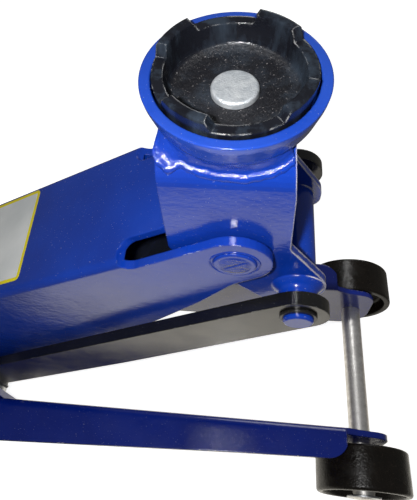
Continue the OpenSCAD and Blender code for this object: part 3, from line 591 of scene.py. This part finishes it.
def cup_enamel(name):
    """Glossy black enamel that turns rough and dusty on the cup's floor."""
    mat, tree, bsdf = new_material(name)
    at = place(tree)
    # the grey along the edges is wear, and here it is also a painted highlight along the rims and tabs
    colour, normal = rubbed_black(tree, at, CUP_BLACK, round_to=0.0010, kept=0.47)
    low = ramp(tree, along(tree, at, "Z"), DUST_TOP, DUST_TOP + DUST_FADE, 1, 0)
    dust = noise(tree, at, 900, 4, 0.75)
    # a painted reflection: bluish streaks up the wall
    sheen = ramp(tree, noise(tree, place(tree, (1, 1, 0.25)), 110, 5, 0.65), 0.46, 0.66, 0, 0.75)
    colour = blend(tree, sheen, colour, CUP_SHEEN)
    # dark dust on the floor, with painted glints on its grains
    dusty = times(tree, low, ramp(tree, dust, 0.35, 0.75, 0.1, 0.9))
    colour = blend(tree, dusty, colour, CUP_DUST)
    painted_glint = times(tree, ramp(tree, noise(tree, at, 1900, 1), 0.69, 0.75, 0, 0.8), low)
    tree.links.new(blend(tree, painted_glint, colour, CUP_PAINTED_GLINT), bsdf.inputs["Base Color"])
    smear = ramp(tree, noise(tree, at, 90, 4), 0.3, 0.7, 0.10, 0.20)
    rough = add(tree, "ShaderNodeMix", {"Factor": low, "A": smear, "B": 0.48}).outputs["Result"]
    tree.links.new(rough, bsdf.inputs["Roughness"])
    bsdf.inputs["Specular IOR Level"].default_value = 0.36
    bsdf.inputs["IOR"].default_value = PAINT_IOR
    grains = times(tree, times(tree, dust, low), DUST_SHARE)
    height = plus(tree, noise(tree, at, 260, 3, 0.6), grains)
    tree.links.new(bump(tree, height, CUP_GRAIN, 0.6, normal), bsdf.inputs["Normal"])
    return mat


paint(cup_enamel("cup_paint"), "saddle_cup")


# ---------------------------------------------------------------- circlips on the link pin
# Each end of the link pin has an external circlip in black spring steel, which keeps the link bar on: an
# open ring that is widest opposite its gap, with two small lugs.
LINK_PIN = middle_of("link_pin")
CLIP_IN = 5.9            # inner radius, in the pin's groove, mm
CLIP_NARROW = 1.1        # the ring's width next to its lugs
CLIP_SWELL = 0.9         # and what is added to it opposite the gap
LUG_WIDTH = 2.6
LUG_SHARE = 0.06         # the share of the ring that each lug takes up
CLIP_NEAR = 37.1         # the ring's inner and outer faces, from the jack's middle
CLIP_FAR = 38.2
CLIP_ROUND_OUT = 0.25    # how far its outer corner is taken off
CLIP_ROUND_IN = 0.20
CLIP_GAP = 40            # angle between the lugs, round the lowest point, degrees
CLIP_STEPS = 48
CLIP_BLACK = (0.030, 0.029, 0.030, 1)


def clip_ring(i, side):
    """Points round the circlip's section, at step i of the way from one lug to the other."""
    share = i / CLIP_STEPS
    turn = math.radians(-90 + CLIP_GAP / 2 + (360 - CLIP_GAP) * share)
    wide = CLIP_NARROW + CLIP_SWELL * math.sin(math.pi * share) ** 2
    if share < LUG_SHARE or share > 1 - LUG_SHARE:
        wide = LUG_WIDTH
    inner, outer = CLIP_IN, CLIP_IN + wide
    section = (
        (inner, CLIP_NEAR), (outer, CLIP_NEAR), (outer, CLIP_FAR - CLIP_ROUND_OUT),
        (outer - CLIP_ROUND_OUT, CLIP_FAR), (inner + CLIP_ROUND_IN, CLIP_FAR),
        (inner, CLIP_FAR - CLIP_ROUND_IN),
    )
    out = Vector((math.cos(turn), 0, math.sin(turn)))
    return [LINK_PIN + (out * r + Vector((0, side * y, 0))) * MM for r, y in section]


clip_steel = black_coat("clip_steel", CLIP_BLACK, rough=0.22, grain=1200, metallic=0.6)
for side, name in ((-1, "circlip_right"), (1, "circlip_left")):
    clip = skin(name, [clip_ring(i, side) for i in range(CLIP_STEPS + 1)], smooth=False)
    clip.data.materials.append(clip_steel)
    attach(clip, "bracket")


# ---------------------------------------------------------------- wheels
# The front wheels and caster wheels are moulded in black nylon. Their skin has the mould's fine texture,
# with dirt in it and scuffs along the edges.
MOULD_GRAIN = 0.00022    # height of the mould's texture, m


def moulded(name, base, dust, rough, texture):
    """A moulded skin. dust is the colour of its dirt and scuffs, and texture the scale of the mould's."""
    mat, tree, bsdf = new_material(name)
    at = place(tree)
    normal, edge = edges(tree, 0.0008)
    paler = [c * 2.0 for c in base[:3]] + [1]
    colour = blend(tree, ramp(tree, noise(tree, at, 60, 4), 0.4, 0.7), base, paler)
    dirt = ramp(tree, noise(tree, at, 620, 4, 0.75), 0.56, 0.74, 0, 0.4)
    colour = blend(tree, dirt, colour, dust)
    scuffs = ramp(tree, noise(tree, at, 300, 3), 0.45, 0.6, 0, 0.5)
    colour = blend(tree, times(tree, ramp(tree, edge, 0.05, 0.2), scuffs), colour, dust)
    tree.links.new(colour, bsdf.inputs["Base Color"])
    smear = ramp(tree, noise(tree, at, 140, 4), 0.3, 0.7, rough, rough + 0.16)
    tree.links.new(smear, bsdf.inputs["Roughness"])
    dimples = times(tree, noise(tree, at, 240, 2), 1.2)
    height = plus(tree, noise(tree, at, texture, 3), dimples)
    tree.links.new(bump(tree, height, MOULD_GRAIN, 0.7, normal), bsdf.inputs["Normal"])
    bsdf.inputs["Specular IOR Level"].default_value = 0.3
    return mat


NYLON = (0.006, 0.0045, 0.0032, 1)
NYLON_DUST = (0.060, 0.044, 0.032, 1)
black_nylon = moulded("black_nylon", NYLON, NYLON_DUST, rough=0.18, texture=900)
paint(black_nylon, "front_wheel_left", "front_wheel_right", "caster_wheel_left", "caster_wheel_right")


# ---------------------------------------------------------------- grip
# The grip is a ribbed sleeve of soft black rubber, pushed over the end of the handle's tube. Its skin is
# dull, and greyer along the ribs' edges.
RUBBER = (0.014, 0.014, 0.015, 1)
RUBBER_DUST = (0.06, 0.06, 0.06, 1)
paint(moulded("grip_rubber", RUBBER, RUBBER_DUST, rough=0.55, texture=700), "handle_grip")


# ---------------------------------------------------------------- zinc plated steel
# Bolts, nuts, pins, washers and caster forks are pressed or turned steel with bright zinc plating, faintly
# mottled. The axle and the arm's shaft are drawn bar, with marks along them, and the rivet is grainy.
def plated(name, base, dark, rough, stretch=(1, 1, 1), grain=800, grain_height=0.00006, metallic=1.0):
    """Metal that is mottled from base to dark. stretch draws its marks out along an axis."""
    mat, tree, bsdf = new_material(name)
    at = place(tree)
    normal = edges(tree, 0.0004)[0]
    drawn = noise(tree, place(tree, stretch), 260, 4, 0.65)
    mottle = noise(tree, at, 230, 5, 0.7)
    colour = blend(tree, ramp(tree, mottle, 0.35, 0.65), base, dark)
    colour = blend(tree, ramp(tree, drawn, 0.45, 0.75, 0, 0.5), colour, dark)
    tree.links.new(colour, bsdf.inputs["Base Color"])
    bsdf.inputs["Metallic"].default_value = metallic
    mottled = ramp(tree, mottle, 0.3, 0.7, rough, rough + 0.14)
    spread = plus(tree, mottled, ramp(tree, drawn, 0.4, 0.7, 0, 0.1))
    tree.links.new(spread, bsdf.inputs["Roughness"])
    height = plus(tree, drawn, noise(tree, at, grain, 3))
    tree.links.new(bump(tree, height, grain_height, 0.5, normal), bsdf.inputs["Normal"])
    return mat


ZINC = (0.66, 0.67, 0.69, 1)
ZINC_DARK = (0.42, 0.43, 0.45, 1)
paint(
    plated("zinc_plate", ZINC, ZINC_DARK, rough=0.30),
    "axle_washers", "crank_pin", "link_studs", "unit_bolts", "filler_plug", "pump_plunger", "release_valve",
    "ram_rod", "spring_posts", "socket_pin", "roller_pin", "clamp_screw", "snap_button", "caster_races",
    "king_bolts", "king_nuts", "caster_fork_left", "caster_fork_right", "caster_axle_left",
    "caster_axle_right",
)
DRAWN = (0.92, 0.90, 0.87, 1)
DRAWN_DARK = (0.66, 0.64, 0.61, 1)
ALONG_THE_BAR = (8, 0.25, 8)
zinc_drawn = plated("zinc_drawn", DRAWN, DRAWN_DARK, rough=0.34, stretch=ALONG_THE_BAR, metallic=0.85)
paint(zinc_drawn, "front_axle", "arm_shaft")
RIVET = (0.84, 0.87, 0.89, 1)
RIVET_DARK = (0.50, 0.54, 0.58, 1)
rivet_zinc = plated(
    "rivet_zinc", RIVET, RIVET_DARK, rough=0.33, grain=2200, grain_height=0.0006, metallic=0.55,
)
paint(rivet_zinc, "saddle_rivet")


# ---------------------------------------------------------------- plain steel
# The ram's yoke, the cylinder, the pump's barrel and roller, the arm's cross tube and the rings on the pins
# are bare machined steel, kept from rust by a film of oil.
OILED_STEEL = (0.34, 0.34, 0.35, 1)
OILED_STEEL_DARK = (0.16, 0.16, 0.17, 1)
plain_steel = plated("plain_steel", OILED_STEEL, OILED_STEEL_DARK, rough=0.34)
paint(
    plain_steel,
    "arm_pivot_tube", "arm_shaft_rings", "link_rings", "cylinder_tube", "pump_barrel", "ram_yoke",
    "pump_roller",
)


# ---------------------------------------------------------------- return springs
# Two extension springs of round steel wire pull the ram back in. Each is hooked over a post on the frame and
# into a groove of the crank pin.
SPRING_Y = middle_of("return_spring_left").y
POST = Vector((middle_of("spring_posts").x, SPRING_Y, middle_of("spring_posts").z))    # middle of its groove
CRANK = Vector((middle_of("crank_pin").x, SPRING_Y, middle_of("crank_pin").z))
WIRE_R = 0.9 * MM
WIRE_SIDES = 8
COIL_R = 4.0 * MM
TURNS = 22
TURN_STEPS = 12
POST_HOOK_R = 3.9 * MM
CRANK_HOOK_R = 6.9 * MM
HOOK_TURNS = range(55, 342, 11)      # where the points of a hook's loop are round its pin, degrees
SHANK_START = 1.0 * MM               # the shank leaves the loop this far outside it,
SHANK_BEND = 2.2 * MM                # bends up this far before the coil's end,
SHANK_RISE = 0.6 * MM                # and is this far before it
SHANK_HALF_UP = 0.55                 # at this share of the coil's radius
COIL_BACK = POST.x + 9.5 * MM
COIL_FRONT = CRANK.x - 12.5 * MM


def wire(name, path):
    """Round wire swept along the path."""
    rings = []
    turns = [2 * math.pi * k / WIRE_SIDES for k in range(WIRE_SIDES)]
    across = Vector((0, 0.3, 1))
    for i, spot in enumerate(path):
        way = (path[min(i + 1, len(path) - 1)] - path[max(i - 1, 0)]).normalized()
        across = (across - way * across.dot(way)).normalized()
        other = way.cross(across)
        rings.append([spot + WIRE_R * (math.cos(turn) * across + math.sin(turn) * other) for turn in turns])
    made = skin(name, rings)
    made.data.materials.append(plain_steel)
    return made


def hook(middle, radius, root, ahead):
    """An open loop round a pin, then a shank to the coil's end at root. ahead is 1 where the coil is in
    front, and -1 where it is behind."""
    path = []
    for turn in HOOK_TURNS:
        way = math.radians(turn)
        path.append(middle + radius * Vector((ahead * math.cos(way), 0, math.sin(way))))
    level = root.z - COIL_R
    path.append(Vector((middle.x + ahead * (radius + SHANK_START), middle.y, middle.z)))
    path.append(Vector((root.x - ahead * SHANK_BEND, middle.y, level)))
    path.append(Vector((root.x - ahead * SHANK_RISE, middle.y, level + COIL_R * SHANK_HALF_UP)))
    return path + [root]


def coil_spot(share, side):
    """Point of the coil's wire, share 0 to 1 from the post to the crank pin."""
    turn = 2 * math.pi * TURNS * share
    return Vector((
        COIL_BACK + (COIL_FRONT - COIL_BACK) * share, side * (SPRING_Y + COIL_R * math.sin(turn)),
        POST.z + (CRANK.z - POST.z) * share + COIL_R * math.cos(turn),
    ))


back_hook = hook(POST, POST_HOOK_R, coil_spot(0, 1), 1)
front_hook = hook(CRANK, CRANK_HOOK_R, coil_spot(1, 1), -1)
for side, name in ((-1, "right"), (1, "left")):
    flip = Vector((1, side, 1))
    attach(wire("spring_hook_back_" + name, [spot * flip for spot in back_hook]), "chassis")
    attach(wire("spring_hook_front_" + name, [spot * flip for spot in front_hook]), "ram")
    steps = TURNS * TURN_STEPS
    coil = wire("spring_coil_" + name, [coil_spot(i / steps, side) for i in range(steps + 1)])
    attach(coil, "chassis")
    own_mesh(coil)
    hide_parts("return_spring_" + name)


# ---------------------------------------------------------------- floor
# A pale sheet to stand on, which runs out to a white backdrop and keeps the jack's soft shadow. Shiny faces
# see a painted glow on it, white near the jack and dimmer further out, with a painted shadow in a wedge
# beside the right frame.
FLOOR_HALF = 6
FLOOR_GREY = (0.80, 0.80, 0.80, 1)
FLOOR_GLOW = 0.90                        # what the camera sees on top of the lit grey, up to white
GLOW_COLOUR = (1, 0.95, 0.84, 1)
GLOW_SHIFT = (-0.249, 0.0875, 0)         # takes the middle of the white stretch to the origin, m
GLOW_STRETCH = (1, 1.25, 1)
GLOW_IN = 0.15                           # the floor is seen white within this radius, m
GLOW_OUT = 0.23                          # and dim outside this one
GLOW_BRIGHT = 1.08
GLOW_DIM = 0.14
WEDGE_WAY = (0.30, -0.95, 0)             # square to the wedge's outer side, which slants out to the back
WEDGE_OUTER = (0.122, 0.138)             # from dark to lit across that side, that way
WEDGE_INNER = (-0.057, -0.045)           # from dark to lit across its inner side, along y
WEDGE_DARK = 0.02
shape = bmesh.new()
bmesh.ops.create_grid(shape, x_segments=1, y_segments=1, size=FLOOR_HALF)
floor = finished("floor", shape, smooth=False)
floor_mat, tree, bsdf = new_material("floor")
bsdf.inputs["Base Color"].default_value = FLOOR_GREY
bsdf.inputs["Roughness"].default_value = 0.9
bsdf.inputs["Specular IOR Level"].default_value = 0.0
bsdf.inputs["Emission Color"].default_value = (1, 1, 1, 1)
rays = add(tree, "ShaderNodeLightPath")
tree.links.new(times(tree, rays.outputs["Is Camera Ray"], FLOOR_GLOW), bsdf.inputs["Emission Strength"])
at = place(tree)
from_glow = place(tree, GLOW_STRETCH, GLOW_SHIFT)
# painted glow, and a painted shadow in the wedge, that only glossy rays see
reach = add(tree, "ShaderNodeVectorMath", {0: from_glow}, operation="LENGTH").outputs["Value"]
beyond = ramp(tree, dot(tree, at, WEDGE_WAY), *WEDGE_OUTER, WEDGE_DARK, 1)
lit = calc(tree, "MAXIMUM", beyond, ramp(tree, along(tree, at, "Y"), *WEDGE_INNER))
glow = times(tree, ramp(tree, reach, GLOW_IN, GLOW_OUT, GLOW_BRIGHT, GLOW_DIM), lit)
mirrored = add(tree, "ShaderNodeEmission", {"Color": GLOW_COLOUR, "Strength": glow}).outputs[0]
sheet = add(tree, "ShaderNodeMixShader", {0: rays.outputs["Is Glossy Ray"], 1: bsdf.outputs[0], 2: mirrored})
tree.links.new(sheet.outputs[0], tree.nodes["Material Output"].inputs["Surface"])
floor.data.materials.append(floor_mat)


# ---------------------------------------------------------------- light
# A dim even sky, a small lamp near the camera, a weak narrow one that reaches the axle from the left, one
# over the back of the jack, and a low one far out on the left.
SKY_STRENGTH = 0.14
scene = bpy.context.scene
world = bpy.data.worlds.new("studio")
scene.world = world
world.use_nodes = True
tree = world.node_tree
sky = tree.nodes["Background"]
sky.inputs["Color"].default_value = (1, 1, 1, 1)
seen = add(tree, "ShaderNodeLightPath").outputs["Is Camera Ray"]
tree.links.new(calc(tree, "MAXIMUM", seen, SKY_STRENGTH), sky.inputs["Strength"])


def lamp(name, at, to, size, watts, spread=180):
    """A round lamp at one place that shines towards another, in a cone of that many degrees."""
    light = bpy.data.lights.new(name, "AREA")
    light.shape = "DISK"
    light.size = size
    light.energy = watts
    light.spread = math.radians(spread)
    holder = bpy.data.objects.new(name, light)
    scene.collection.objects.link(holder)
    holder.location = at
    holder.rotation_euler = (Vector(to) - Vector(at)).to_track_quat("-Z", "Y").to_euler()
    holder.visible_camera = False


lamp("key", at=(0.257, -0.116, 0.436), to=(0.26, 0, 0.22), size=0.012, watts=0.56)
lamp("window", at=(0.245, 0.270, 0.600), to=(0.357, 0.045, 0.035), size=0.07, watts=0.006, spread=16)
lamp("rear", at=(-0.27, -0.15, 0.85), to=(-0.23, 0, 0.05), size=0.25, watts=0.45, spread=34)
lamp("low", at=(0.5, 1.3, 0.35), to=(0.2, 0, 0.1), size=0.7, watts=4.0)


# ---------------------------------------------------------------- camera
# The camera is close to the saddle and looks steeply down over the front of the jack from the right.
AXLE_X = middle_of("front_axle").x
EYE = Vector((AXLE_X - 0.08090, -0.11260, 0.42713))
AZIMUTH = math.radians(9.386)
ELEVATION = math.radians(54.556)
ROLL = math.radians(-5.192)
LENS = 37.585
SHIFT = (0.01362, -0.14671)
back = Vector((
    math.sin(AZIMUTH) * math.cos(ELEVATION), -math.cos(AZIMUTH) * math.cos(ELEVATION), math.sin(ELEVATION),
))
level_right = Vector((math.cos(AZIMUTH), math.sin(AZIMUTH), 0))
level_up = back.cross(level_right)
right = math.cos(ROLL) * level_right + math.sin(ROLL) * level_up
up = -math.sin(ROLL) * level_right + math.cos(ROLL) * level_up
camera = bpy.data.objects.new("camera", bpy.data.cameras.new("camera"))
scene.collection.objects.link(camera)
camera.matrix_world = Matrix.Translation(EYE) @ Matrix((right, up, back)).transposed().to_4x4()
camera.data.lens = LENS
camera.data.sensor_width = 36
camera.data.shift_x, camera.data.shift_y = SHIFT
camera.data.clip_start = 0.01
scene.camera = camera
scene.view_settings.view_transform = "Standard"
